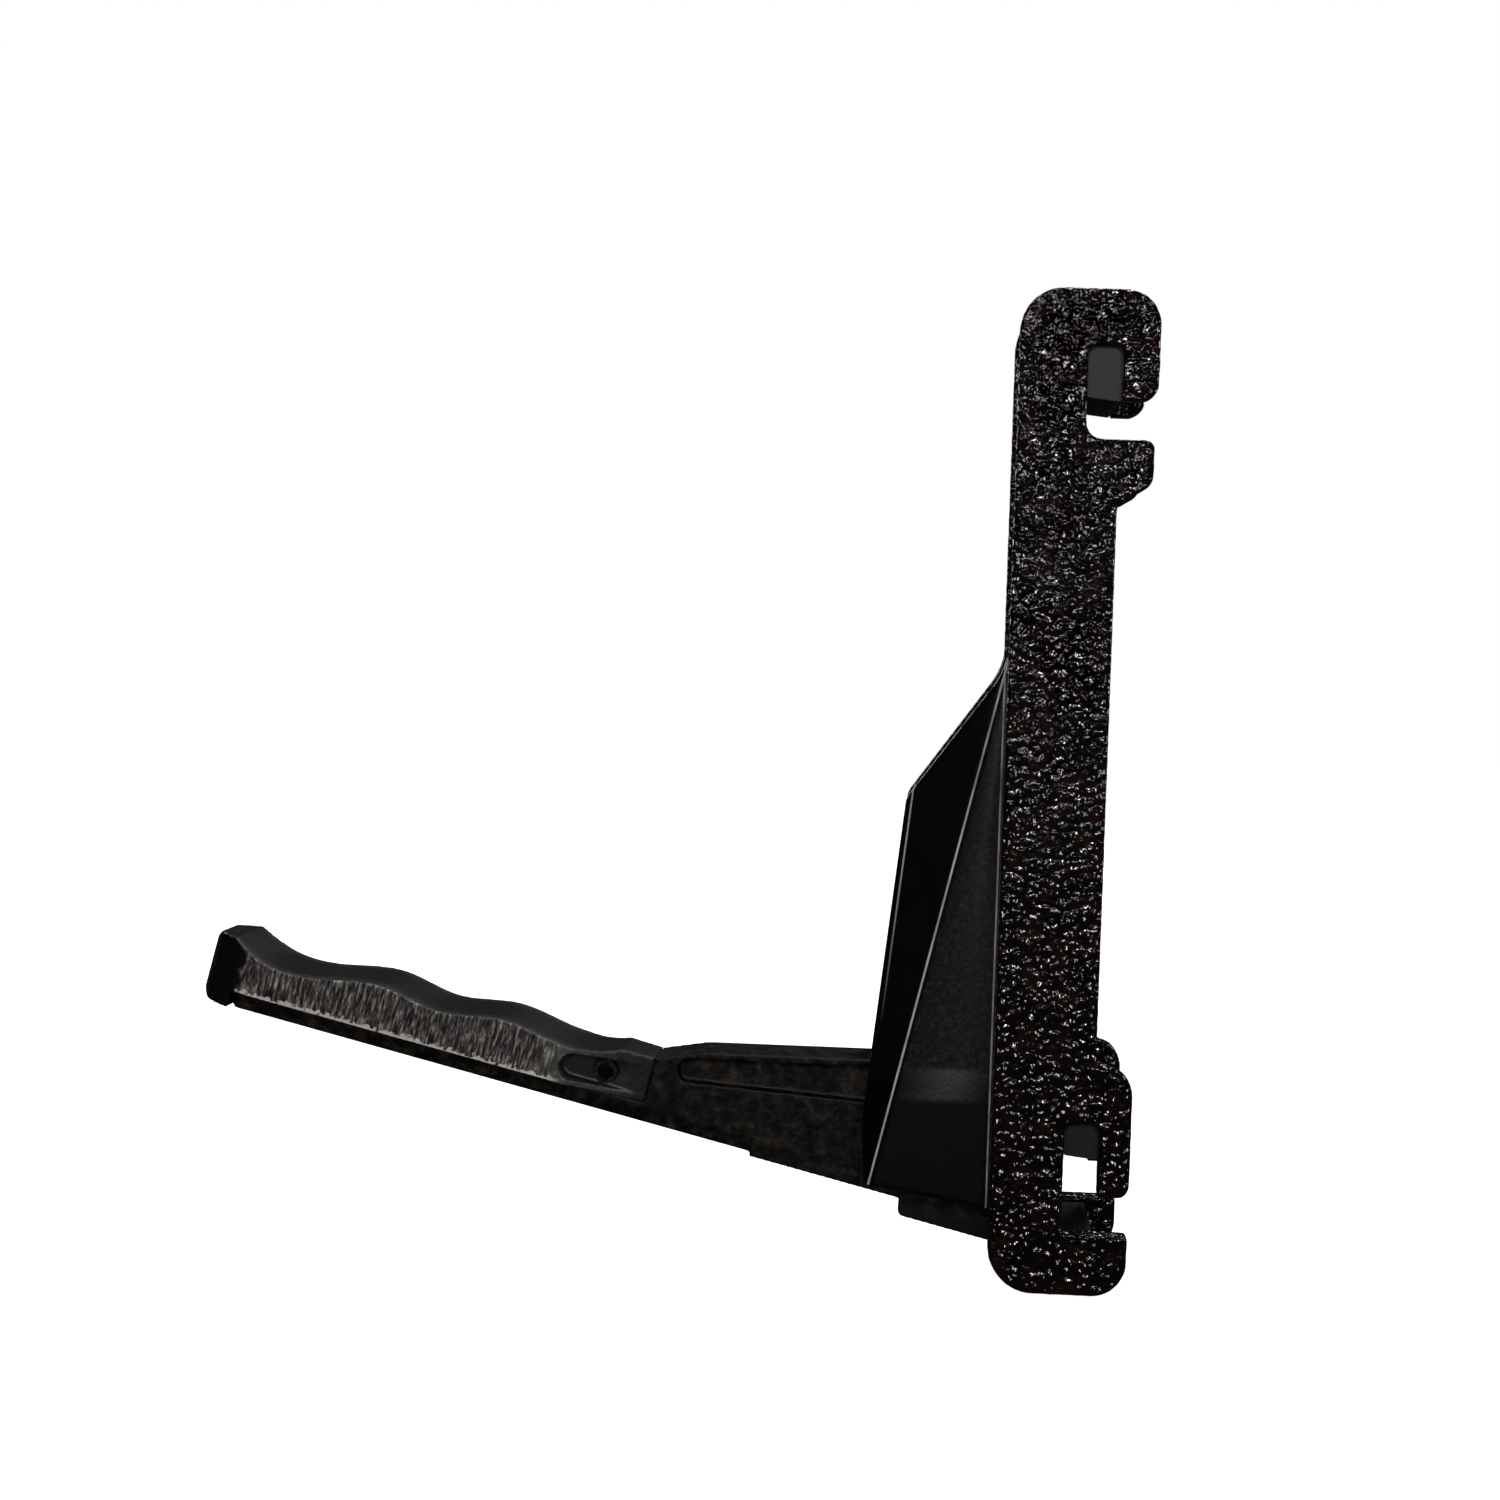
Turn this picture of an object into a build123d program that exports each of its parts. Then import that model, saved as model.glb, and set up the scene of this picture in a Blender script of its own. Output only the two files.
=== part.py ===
from build123d import *
import os
from math import atan, cos, degrees, radians, sin, tan

# A sash lift handle: a folding lever in a yoke, held between two hooked side plates.
# Millimetres. X points back to the sash, Y across the handle, Z up.
# The origin is the middle of the seating face, the back edge that rests on the sash.
# The lever is drawn where it stands in use, lowered onto its stop.

os.makedirs("parts", exist_ok=True)

# Side plates
PLATE_THICKNESS = 4.0
PLATE_GAP = 22.0
STRIP_WIDTH = 19.0
PLATE_TOP = 87.7
PLATE_BOTTOM = -98.4
HOOK_REACH = 6.9
PLATE_EDGE_ROUND = 0.7

# Hook slots, each a mouth that opens to the back and a leg that rises from it
SLOT_WIDTH = 6.3
MOUTH_HEIGHT = 7.0
UPPER_MOUTH_FLOOR = 60.2
UPPER_LEG_BACK = 0.1
UPPER_LEG_HEIGHT = 17.0
LOWER_MOUTH_FLOOR = -87.0
LOWER_LEG_BACK = 0.9
LOWER_LEG_HEIGHT = 20.5
SADDLE_HEIGHT = 6.8

# Yoke
SLOT_GAP = 11.6
WEB_THICKNESS = 3.2
YOKE_INSET = 1.0
WEDGE_FRONT = 37.0
WEDGE_FRONT_LOW = 43.2
WEDGE_TOP = 23.0
WEDGE_SHOULDER = -7.5
WEDGE_TIP = -80.3
BEVEL_DEPTH = 3.2

# Pivot
PIVOT_X = -13.5
PIVOT_Z = -63.5
PIN_DIAMETER = 7.0
BUSH_WALL = 1.0
HUB_RADIUS = 8.0
WASHER_THICKNESS = 0.9
FOLD_ANGLE = 76.6

# Lever
ARM_WIDTH = 10.6
LEVER_SLOPE = 13.37
SPINE_DROP = 88.2
SPINE_HEIGHT = 4.5
ROOT_TOP = -57.9
HEEL_DROP = 3.2
HEEL_LENGTH = 17.0
GRIP_WIDTH = 17.0
GRIP_TOP = 13.3
GRIP_START = 69.0
GRIP_END = 157.3
NOSE_LENGTH = 11.0
LAST_CREST = 75.6
NOSE_CREST = 11.2
VALLEY_DEPTHS = (1.5, 1.7, 1.9)
SPRING_PIN_DIAMETER = 4.4
SPRING_PIN_WALL = 0.7
EYE_PLACE = 77.5
EYE_HEIGHT = 8.6

# Detent and fasteners
BALL_DIAMETER = 4.0
DETENT_RADIUS = 15.0
DETENT_ANGLE = 200.0
SCREW_DIAMETER = 4.0
SCREW_HEAD = 8.0
SCREW_DEPTH = 2.8

# Fits
RUNNING_CLEARANCE = 0.1
SIDE_CLEARANCE = 0.15
FREE_CLEARANCE = 0.3

HALF_GAP = PLATE_GAP / 2
HALF_WIDTH = HALF_GAP + PLATE_THICKNESS
HALF_SLOT = SLOT_GAP / 2
HALF_ARM = ARM_WIDTH / 2
HALF_GRIP = GRIP_WIDTH / 2
HUB_FACE = HALF_SLOT - WASHER_THICKNESS - RUNNING_CLEARANCE
BUSH_DIAMETER = PIN_DIAMETER + 2 * BUSH_WALL
SLOPE = radians(LEVER_SLOPE)
FINGER_PITCH = (GRIP_END - NOSE_CREST - LAST_CREST) / len(VALLEY_DEPTHS)
UPPER_LEG_TOP = UPPER_MOUTH_FLOOR + UPPER_LEG_HEIGHT
LOWER_LEG_TOP = LOWER_MOUTH_FLOOR + LOWER_LEG_HEIGHT
SCREW_SPOTS = (
    (-STRIP_WIDTH + 6.0, UPPER_LEG_TOP - 5.5),
    (-STRIP_WIDTH / 2, 34.0),
    (-STRIP_WIDTH / 2 + 1.0, -8.0),
    (-STRIP_WIDTH / 2 - 1.5, PLATE_BOTTOM + 7.2),
)


def outline(corners):
    """A closed face from (x, y, corner radius) triples."""
    line = FilletPolyline([(x, y) for x, y, _ in corners], radius=[r for _, _, r in corners], close=True)
    return make_face(line)


def upright(y):
    """The plane of X and Z at a place on Y."""
    return Plane(origin=(0, y, 0), x_dir=(1, 0, 0), z_dir=(0, -1, 0))


def slab(corners, low_y, high_y):
    """The outline, drawn on X and Z, as a solid from low_y to high_y."""
    return extrude(upright(high_y) * outline(corners), high_y - low_y, dir=(0, -1, 0))


def bar(diameter, low_y, high_y, x, z):
    """A round bar along Y."""
    middle = (low_y + high_y) / 2
    return Pos(x, middle, z) * Rot(90, 0, 0) * Cylinder(diameter / 2, high_y - low_y)


def on_lever(place, height, radius=0.0):
    """The point at a distance along the lever's underside, at a height square to it."""
    x = -STRIP_WIDTH - place * cos(SLOPE) + height * sin(SLOPE)
    z = -SPINE_DROP + place * sin(SLOPE) + height * cos(SLOPE)
    return x, z, radius


def about_pivot(radius, angle):
    """The point at a radius and an angle in degrees round the pivot, 180 towards the lever."""
    return PIVOT_X + radius * cos(radians(angle)), PIVOT_Z + radius * sin(radians(angle))


def plate_blank(low_y, high_y):
    """One side plate with both hook slots, before its holes."""
    strip_front = -STRIP_WIDTH
    upper_front = UPPER_LEG_BACK - SLOT_WIDTH
    lower_front = LOWER_LEG_BACK - SLOT_WIDTH
    upper_roof = UPPER_MOUTH_FLOOR + MOUTH_HEIGHT
    lower_roof = LOWER_MOUTH_FLOOR + MOUTH_HEIGHT
    boss_top = LOWER_LEG_TOP + 11.5
    corners = [
        (strip_front, PLATE_TOP, 8.0),
        (HOOK_REACH, PLATE_TOP, 6.5),
        (HOOK_REACH, upper_roof, 3.4),
        (UPPER_LEG_BACK, upper_roof, 0.0),
        (UPPER_LEG_BACK, UPPER_LEG_TOP, 1.6),
        (upper_front, UPPER_LEG_TOP, 1.6),
        (upper_front, UPPER_MOUTH_FLOOR, 3.0),
        (HOOK_REACH - 0.4, UPPER_MOUTH_FLOOR, 1.6),
        (HOOK_REACH - 0.4, UPPER_MOUTH_FLOOR - 8.2, 3.2),
        (0, UPPER_MOUTH_FLOOR - 12.2, 1.5),
        (0, boss_top, 1.2),
        (HOOK_REACH, boss_top - 2.2, 5.0),
        (HOOK_REACH, lower_roof, 2.4),
        (LOWER_LEG_BACK, lower_roof, 0.0),
        (LOWER_LEG_BACK, LOWER_LEG_TOP, 1.6),
        (lower_front, LOWER_LEG_TOP, 1.6),
        (lower_front, LOWER_MOUTH_FLOOR, 1.0),
        (HOOK_REACH, LOWER_MOUTH_FLOOR, 0.8),
        (HOOK_REACH, PLATE_BOTTOM, 6.5),
        (strip_front, PLATE_BOTTOM, 8.8),
    ]
    return slab(corners, low_y, high_y)


def left_plate():
    """The plate with no screw heads: its threads are blind, cut from inside."""
    plate = plate_blank(-HALF_WIDTH, -HALF_GAP)
    outer = plate.faces().sort_by(Axis.Y)[0]
    plate = fillet(outer.edges(), PLATE_EDGE_ROUND)
    for x, z in SCREW_SPOTS:
        plate -= bar(SCREW_DIAMETER, -HALF_GAP - SCREW_DEPTH, -HALF_GAP, x, z)
    return plate


def right_plate():
    """The plate that the countersunk screws pass through."""
    plate = plate_blank(HALF_GAP, HALF_WIDTH)
    outer = plate.faces().sort_by(Axis.Y)[-1]
    plate = fillet(outer.edges(), PLATE_EDGE_ROUND)
    for x, z in SCREW_SPOTS:
        plate -= bar(SCREW_DIAMETER + FREE_CLEARANCE, HALF_GAP, HALF_WIDTH, x, z)
        plate -= countersink(x, z)
    return plate


def countersink(x, z):
    """The cone of a flat screw head, its wide end at the right plate's face."""
    depth = (SCREW_HEAD - SCREW_DIAMETER) / 2
    cone = Cone(SCREW_DIAMETER / 2, SCREW_HEAD / 2, depth)
    return Pos(x, HALF_WIDTH - depth / 2, z) * Rot(-90, 0, 0) * cone


def plate_screw(x, z):
    """A countersunk socket screw from the right plate into the left one."""
    low = -HALF_GAP - SCREW_DEPTH + FREE_CLEARANCE
    head = (SCREW_HEAD - SCREW_DIAMETER) / 2
    screw = bar(SCREW_DIAMETER, low, HALF_WIDTH - head, x, z)
    screw += countersink(x, z)
    socket = extrude(RegularPolygon(1.45, 6), 1.5)
    return screw - Pos(x, HALF_WIDTH, z) * Rot(90, 0, 0) * socket


def wedge_corners():
    """The side view of one wall of the yoke."""
    bottom_back = WEDGE_TIP - 3.6
    return [
        (-STRIP_WIDTH + 4.0, WEDGE_TOP + 5.0, 0.0),
        (-STRIP_WIDTH + YOKE_INSET, WEDGE_TOP + 5.0, 0.0),
        (-STRIP_WIDTH + YOKE_INSET - 1.4, WEDGE_TOP - 6.0, 14.0),
        (-WEDGE_FRONT, WEDGE_SHOULDER, 4.0),
        (-WEDGE_FRONT_LOW, -68.0, 20.0),
        (-WEDGE_FRONT_LOW + 0.7, WEDGE_TIP, 0.6),
        (-STRIP_WIDTH, bottom_back, 0.0),
        (-STRIP_WIDTH + YOKE_INSET, bottom_back, 0.0),
        (-STRIP_WIDTH + YOKE_INSET, PLATE_BOTTOM + 2.0, 6.0),
        (LOWER_LEG_BACK, PLATE_BOTTOM + 2.0, 0.0),
        (LOWER_LEG_BACK, LOWER_MOUTH_FLOOR - 1.0, 0.0),
        (LOWER_LEG_BACK - SLOT_WIDTH - 1.0, LOWER_MOUTH_FLOOR - 1.0, 0.0),
        (LOWER_LEG_BACK - SLOT_WIDTH - 1.0, LOWER_LEG_TOP + 2.0, 0.0),
    ]


def bevel_cutter():
    """The slab of air that bevels a wall's front from the ridge line inward."""
    ridge_top = -STRIP_WIDTH - 1.0
    ridge_low = -WEDGE_FRONT_LOW + 1.6
    height = WEDGE_TOP - 9.0 - WEDGE_TIP
    lean = degrees(atan((ridge_top - ridge_low) / height))
    turn = degrees(atan(BEVEL_DEPTH / (WEDGE_FRONT - STRIP_WIDTH - 6.3)))
    block = Pos(-30, -20, 0) * Box(60, 40, 400)
    return Pos(ridge_low, -HALF_GAP, WEDGE_TIP) * Rot(0, lean, 0) * Rot(0, 0, -turn) * block


def yoke():
    """The casting that carries the lever: a spine, two wedge walls and a stop block."""
    spine_top = PLATE_TOP - 4.0
    fold = radians(90 - FOLD_ANGLE)
    back_clear = ROOT_TOP - PIVOT_Z + 1.2
    front_low = PIVOT_X + back_clear / cos(fold)
    nose_z = PIVOT_Z + (front_low + STRIP_WIDTH - YOKE_INSET) / tan(fold)
    spine = slab(
        [
            (0, LOWER_LEG_TOP + 2.0, 0.0),
            (0, UPPER_MOUTH_FLOOR - 14.0, 0.0),
            (UPPER_LEG_BACK - SLOT_WIDTH - 0.5, UPPER_MOUTH_FLOOR - 6.0, 3.0),
            (UPPER_LEG_BACK - SLOT_WIDTH - 0.5, spine_top, 2.0),
            (-STRIP_WIDTH + YOKE_INSET, spine_top, 5.0),
            (-STRIP_WIDTH + YOKE_INSET, nose_z, 3.0),
            (-WEB_THICKNESS - 1.6, PIVOT_Z + 9.5, 6.0),
            (-WEB_THICKNESS, LOWER_LEG_TOP + 2.0, 0.0),
        ],
        -HALF_GAP,
        HALF_GAP,
    )
    walls = slab(wedge_corners(), -HALF_GAP, -HALF_SLOT)
    walls -= bevel_cutter()
    walls -= detent_track()
    walls += mirror(walls, about=Plane.XZ)
    stop_front = -STRIP_WIDTH + 2.2
    block = slab(
        [
            (stop_front, PLATE_BOTTOM + 2.0, 4.0),
            (LOWER_LEG_BACK, PLATE_BOTTOM + 2.0, 0.0),
            (LOWER_LEG_BACK, LOWER_MOUTH_FLOOR - 1.0, 0.0),
            (LOWER_LEG_BACK - SLOT_WIDTH - 1.0, LOWER_MOUTH_FLOOR - 1.0, 0.0),
            (LOWER_LEG_BACK - SLOT_WIDTH - 1.0, PIVOT_Z - HUB_RADIUS - 3.0, 0.0),
            (stop_front, PIVOT_Z - HUB_RADIUS - 3.0, 1.0),
        ],
        -HALF_GAP,
        HALF_GAP,
    )
    body = spine + walls + block
    body -= bar(PIN_DIAMETER, -HALF_GAP, HALF_GAP, PIVOT_X, PIVOT_Z)
    for x, z in SCREW_SPOTS:
        body -= bar(SCREW_DIAMETER + FREE_CLEARANCE, -HALF_GAP, HALF_GAP, x, z)
    return body


def detent_track():
    """The arc groove in a wall that a detent ball runs in, deeper where the lever rests."""
    sink = 0.4 + SIDE_CLEARANCE
    start = radians(DETENT_ANGLE)
    end = radians(DETENT_ANGLE - FOLD_ANGLE)
    half = 1.7
    ring = Cylinder(DETENT_RADIUS + half, sink) - Cylinder(DETENT_RADIUS - half, sink)
    reach = 3 * DETENT_RADIUS
    middle = (start + end) / 2
    corners = [(0, 0), (reach * cos(start), reach * sin(start))]
    corners += [(reach * cos(middle), reach * sin(middle)), (reach * cos(end), reach * sin(end))]
    sector = extrude(make_face(Polyline(corners, close=True)), sink, both=True)
    track = Pos(PIVOT_X, -HALF_SLOT - sink / 2, PIVOT_Z) * Rot(90, 0, 0) * (ring & sector)
    for angle in (DETENT_ANGLE, DETENT_ANGLE - FOLD_ANGLE):
        x, z = about_pivot(DETENT_RADIUS, angle)
        track += bar(2 * half, -HALF_SLOT - sink - 0.4, -HALF_SLOT, x, z)
    return track


def stud_block(front, low, high):
    """A moulded block in a slot's leg, shouldered between the plates."""
    spigot = PLATE_THICKNESS / 2
    back = front + SLOT_WIDTH
    corners = [(front, low + 0.7, 0.5), (back, low, 0.5), (back, high, 1.6), (front, high, 1.6)]
    return slab(corners, -HALF_GAP - spigot, HALF_GAP + spigot)


def pivot_pin():
    """The hardened dowel, held endways by the plates."""
    pin = bar(PIN_DIAMETER, -HALF_GAP, HALF_GAP, PIVOT_X, PIVOT_Z)
    ends = pin.edges().filter_by(GeomType.CIRCLE)
    return chamfer(ends, 0.5)


def pivot_bush():
    """The sintered bronze bush in the lever's hub."""
    ring = bar(BUSH_DIAMETER, -HUB_FACE, HUB_FACE, PIVOT_X, PIVOT_Z)
    return ring - bar(PIN_DIAMETER + RUNNING_CLEARANCE, -HUB_FACE, HUB_FACE, PIVOT_X, PIVOT_Z)


def thrust_washer(side):
    """A washer that keeps the hub off a wall of the yoke."""
    low, high = sorted((side * HALF_SLOT, side * (HALF_SLOT - WASHER_THICKNESS)))
    ring = bar(2 * HUB_RADIUS - 0.6, low, high, PIVOT_X, PIVOT_Z)
    return ring - bar(PIN_DIAMETER + RUNNING_CLEARANCE, low, high, PIVOT_X, PIVOT_Z)


def lever_arm():
    """The forging from the hub to the tip: hub, heel, root and the spine under the grip."""
    rear = -STRIP_WIDTH + 2.0
    heel_back = (rear + STRIP_WIDTH) / cos(SLOPE)
    heel_low = -SPINE_DROP - HEEL_DROP / cos(SLOPE) - heel_back * sin(SLOPE)
    root_end = on_lever(GRIP_START, GRIP_TOP)
    root = slab(
        [
            (rear, heel_low, 1.0),
            on_lever(HEEL_LENGTH, -HEEL_DROP, 1.4),
            on_lever(HEEL_LENGTH, 0.0, 0.0),
            on_lever(GRIP_START, 0.0),
            (root_end[0], root_end[1] - 0.1, 0.3),
            (root_end[0] + 9.0, ROOT_TOP, 18.0),
            (PIVOT_X - 3.0, ROOT_TOP, 0.0),
            (PIVOT_X, PIVOT_Z, 0.0),
            (rear, PIVOT_Z - 2.0, 0.0),
        ],
        -HALF_ARM,
        HALF_ARM,
    )
    spine = slab(
        [
            on_lever(GRIP_START - 22.0, 0.0),
            on_lever(GRIP_END - 7.0, 0.0),
            on_lever(GRIP_END - 7.0, SPINE_HEIGHT),
            on_lever(GRIP_START - 22.0, SPINE_HEIGHT),
        ],
        -HALF_ARM,
        HALF_ARM,
    )
    low_edges = spine.faces().sort_by(Axis((0, 0, 0), (sin(SLOPE), 0, cos(SLOPE))))[0].edges()
    spine = fillet(low_edges.filter_by(GeomType.LINE).filter_by(lambda e: abs(e.tangent_at(0).Y) < 0.5), 4.0)
    hub = bar(2 * HUB_RADIUS, -HUB_FACE, HUB_FACE, PIVOT_X, PIVOT_Z)
    arm = root - spine_round_cut() + spine
    for side in (-1, 1):
        arm -= arm_pocket(side)
        low, high = sorted((side * HUB_FACE, side * (HALF_ARM + 1)))
        arm -= bar(2 * HUB_RADIUS + 1.0, low, high, PIVOT_X, PIVOT_Z)
    arm += hub
    arm += tongue(HALF_ARM / 2)
    arm += tenon(0.0)
    arm -= bar(BUSH_DIAMETER, -HUB_FACE, HUB_FACE, PIVOT_X, PIVOT_Z)
    x, z, _ = on_lever(EYE_PLACE, EYE_HEIGHT)
    arm -= bar(SPRING_PIN_DIAMETER, -HALF_ARM, HALF_ARM, x, z)
    x, z = about_pivot(DETENT_RADIUS, DETENT_ANGLE)
    arm -= bar(BALL_DIAMETER + 0.2, -HALF_ARM, HALF_ARM, x, z)
    return arm


def spine_round_cut():
    """The stock removed where the root runs out to the rounded spine."""
    return slab(
        [
            on_lever(GRIP_START - 22.0, -1.0),
            on_lever(GRIP_START + 1.0, -1.0),
            on_lever(GRIP_START + 1.0, SPINE_HEIGHT),
            on_lever(GRIP_START - 22.0, SPINE_HEIGHT),
        ],
        -HALF_ARM,
        HALF_ARM,
    )


def arm_pocket(side):
    """The shallow recess in each side of the root, above a line through the pivot."""
    low, high = sorted((side * (HALF_ARM - 1.2), side * (HALF_ARM + 1)))
    far = on_lever(GRIP_START - 4.5, GRIP_TOP)
    corners = [
        (far[0], ROOT_TOP - 5.6, 2.0),
        (far[0], ROOT_TOP - 1.4, 1.5),
        (-STRIP_WIDTH - 12.0, ROOT_TOP - 1.4, 1.5),
        (-STRIP_WIDTH - 12.0, PIVOT_Z - 3.4, 2.0),
    ]
    return slab(corners, low, high)


def tongue(half_width):
    """The part of the arm that stands up inside the grip, for the spring pin."""
    back = GRIP_START - 1.0
    front = EYE_PLACE + 4.6
    high = GRIP_TOP - 2.4
    corners = [on_lever(back, SPINE_HEIGHT - 0.5), on_lever(front, SPINE_HEIGHT - 0.5)]
    corners += [on_lever(front, high, 1.5), on_lever(back, high)]
    return slab(corners, -half_width, half_width)


def tenon(clearance):
    """The end of the spine that enters the nose of the grip."""
    low = 1.6 - clearance
    high = SPINE_HEIGHT
    front = GRIP_END - 3.5 + clearance
    corners = [on_lever(GRIP_END - 7.5, low), on_lever(front, low)]
    corners += [on_lever(front, high), on_lever(GRIP_END - 7.5, high)]
    return slab(corners, -HALF_ARM / 2 - clearance, HALF_ARM / 2 + clearance)


def grip_top_edge():
    """The finger-grooved top of the grip, from its root end to its nose."""
    points = []
    for number, depth in enumerate(VALLEY_DEPTHS):
        crest = LAST_CREST + number * FINGER_PITCH
        points.append(on_lever(crest, GRIP_TOP)[:2])
        points.append(on_lever(crest + FINGER_PITCH / 2, GRIP_TOP - depth)[:2])
    points.append(on_lever(GRIP_END - 5.5, GRIP_TOP + 1.2)[:2])
    return Spline(points)


def lever_grip():
    """The finger grip: a scalloped block on the spine, round-nosed, with an eye each side."""
    top = grip_top_edge()
    start_top = on_lever(GRIP_START, GRIP_TOP)[:2]
    nose = [
        on_lever(GRIP_END - 1.4, GRIP_TOP + 0.9)[:2],
        on_lever(GRIP_END, GRIP_TOP - 1.0)[:2],
        on_lever(GRIP_END - 0.5, 2.6)[:2],
        on_lever(GRIP_END - 2.2, 1.2)[:2],
        on_lever(GRIP_END - 7.0, 1.2)[:2],
        on_lever(GRIP_END - 7.0, SPINE_HEIGHT)[:2],
        on_lever(GRIP_START, SPINE_HEIGHT)[:2],
        start_top,
    ]
    edges = [Line(start_top, top @ 0), top, Polyline([top @ 1] + nose)]
    side_view = extrude(upright(HALF_GRIP) * make_face(edges), GRIP_WIDTH, dir=(0, -1, 0))
    block = side_view & grip_plan()
    block -= tongue(HALF_ARM / 2 + RUNNING_CLEARANCE)
    block -= tenon(RUNNING_CLEARANCE)
    for side in (-1, 1):
        low, high = sorted((side * (HALF_GRIP - 3.2), side * (HALF_GRIP + 1)))
        eye = [on_lever(EYE_PLACE + 8.6, EYE_HEIGHT - 2.9, 2.4), on_lever(EYE_PLACE + 8.6, EYE_HEIGHT + 2.0, 2.4)]
        eye += [on_lever(GRIP_START - 6.0, EYE_HEIGHT + 2.9), on_lever(GRIP_START - 6.0, EYE_HEIGHT - 2.9)]
        block -= slab(eye, low, high)
    x, z, _ = on_lever(EYE_PLACE, EYE_HEIGHT)
    block -= bar(SPRING_PIN_DIAMETER, -HALF_GRIP, HALF_GRIP, x, z)
    return block


def grip_plan():
    """The grip seen from above: straight sides, a long round nose and a waisted root end."""
    half_neck = HALF_ARM
    waist_end = GRIP_START + 15.0
    nose_start = GRIP_END - NOSE_LENGTH
    neck = (GRIP_START, half_neck)
    shoulder = (waist_end, HALF_GRIP)
    bend = ((GRIP_START + waist_end) / 2 + 1.5, (half_neck + HALF_GRIP) / 2 - 0.4)
    low = [(x, -y) for x, y in (neck, bend, shoulder)]
    edges = [
        ThreePointArc(neck, bend, shoulder),
        Line(shoulder, (nose_start, HALF_GRIP)),
        Line((nose_start, HALF_GRIP), (nose_start, -HALF_GRIP)),
        Line((nose_start, -HALF_GRIP), low[2]),
        ThreePointArc(low[2], low[1], low[0]),
        Line(low[0], neck),
    ]
    plan = make_face(edges) + Pos(nose_start, 0) * Ellipse(NOSE_LENGTH, HALF_GRIP)
    x, z, _ = on_lever(0, -5)
    frame = Plane(origin=(x, 0, z), x_dir=(-cos(SLOPE), 0, sin(SLOPE)), z_dir=(sin(SLOPE), 0, cos(SLOPE)))
    return extrude(frame * plan, 30, dir=frame.z_dir)


def spring_pin():
    """The slotted spring pin through grip and tongue."""
    x, z, _ = on_lever(EYE_PLACE, EYE_HEIGHT)
    reach = HALF_GRIP - 2.3
    tube = bar(SPRING_PIN_DIAMETER, -reach, reach, x, z)
    tube -= bar(SPRING_PIN_DIAMETER - 2 * SPRING_PIN_WALL, -reach, reach, x, z)
    slot = Pos(x, 0, z - SPRING_PIN_DIAMETER / 2) * Box(0.6, 2 * reach, SPRING_PIN_DIAMETER / 2)
    return tube - slot


def detent_balls():
    """The two balls that the detent spring presses into the walls' tracks."""
    x, z = about_pivot(DETENT_RADIUS, DETENT_ANGLE)
    centre = HALF_SLOT + 0.4 - BALL_DIAMETER / 2
    return [Pos(x, side * centre, z) * Sphere(BALL_DIAMETER / 2) for side in (-1, 1)]


def detent_spring():
    """The coil spring between the balls."""
    x, z = about_pivot(DETENT_RADIUS, DETENT_ANGLE)
    wire = 0.5
    reach = HALF_SLOT + 0.4 - BALL_DIAMETER - wire / 2 + 0.2
    radius = 1.2
    path = Helix(pitch=0.85, height=2 * reach, radius=radius)
    section = Plane(origin=path @ 0, z_dir=path % 0) * Circle(wire / 2)
    coil = sweep(section, path)
    return Pos(x, reach, z) * Rot(90, 0, 0) * coil


PARTS = {
    "left_side_plate": left_plate(),
    "right_side_plate": right_plate(),
    "yoke_casting": yoke(),
    "upper_stud_block": stud_block(
        UPPER_LEG_BACK - SLOT_WIDTH, UPPER_MOUTH_FLOOR + MOUTH_HEIGHT, UPPER_LEG_TOP
    ),
    "lower_stud_saddle": stud_block(LOWER_LEG_BACK - SLOT_WIDTH, LOWER_LEG_TOP - SADDLE_HEIGHT, LOWER_LEG_TOP),
    "plate_screws": Compound([plate_screw(x, z) for x, z in SCREW_SPOTS]),
    "pivot_pin": pivot_pin(),
    "left_thrust_washer": thrust_washer(-1),
    "right_thrust_washer": thrust_washer(1),
    "pivot_bush": pivot_bush(),
    "lever_arm": lever_arm(),
    "lever_grip": lever_grip(),
    "grip_spring_pin": spring_pin(),
    "detent_balls": Compound(detent_balls()),
    "detent_spring": detent_spring(),
}

for name, part in PARTS.items():
    export_step(part, f"parts/{name}.step")
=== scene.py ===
import math

import bpy
from mathutils import Matrix, Vector, noise


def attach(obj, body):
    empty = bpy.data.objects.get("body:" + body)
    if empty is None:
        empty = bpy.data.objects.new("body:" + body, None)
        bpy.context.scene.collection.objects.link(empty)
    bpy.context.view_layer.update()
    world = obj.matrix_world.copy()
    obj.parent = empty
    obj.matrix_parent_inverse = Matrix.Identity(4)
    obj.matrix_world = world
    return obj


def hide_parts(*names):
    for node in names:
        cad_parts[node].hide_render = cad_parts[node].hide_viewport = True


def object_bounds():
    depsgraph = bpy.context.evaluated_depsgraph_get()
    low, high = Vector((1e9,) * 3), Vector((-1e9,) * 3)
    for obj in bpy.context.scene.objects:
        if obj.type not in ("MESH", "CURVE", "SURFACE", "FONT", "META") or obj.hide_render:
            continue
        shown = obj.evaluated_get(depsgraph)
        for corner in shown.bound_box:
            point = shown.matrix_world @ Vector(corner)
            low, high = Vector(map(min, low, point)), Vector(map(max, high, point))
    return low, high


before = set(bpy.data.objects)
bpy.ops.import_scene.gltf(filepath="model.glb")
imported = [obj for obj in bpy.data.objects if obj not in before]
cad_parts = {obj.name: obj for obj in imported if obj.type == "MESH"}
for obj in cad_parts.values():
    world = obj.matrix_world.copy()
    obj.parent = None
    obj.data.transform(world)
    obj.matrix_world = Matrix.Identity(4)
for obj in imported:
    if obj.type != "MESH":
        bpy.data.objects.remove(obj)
cad_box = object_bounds()

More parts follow.
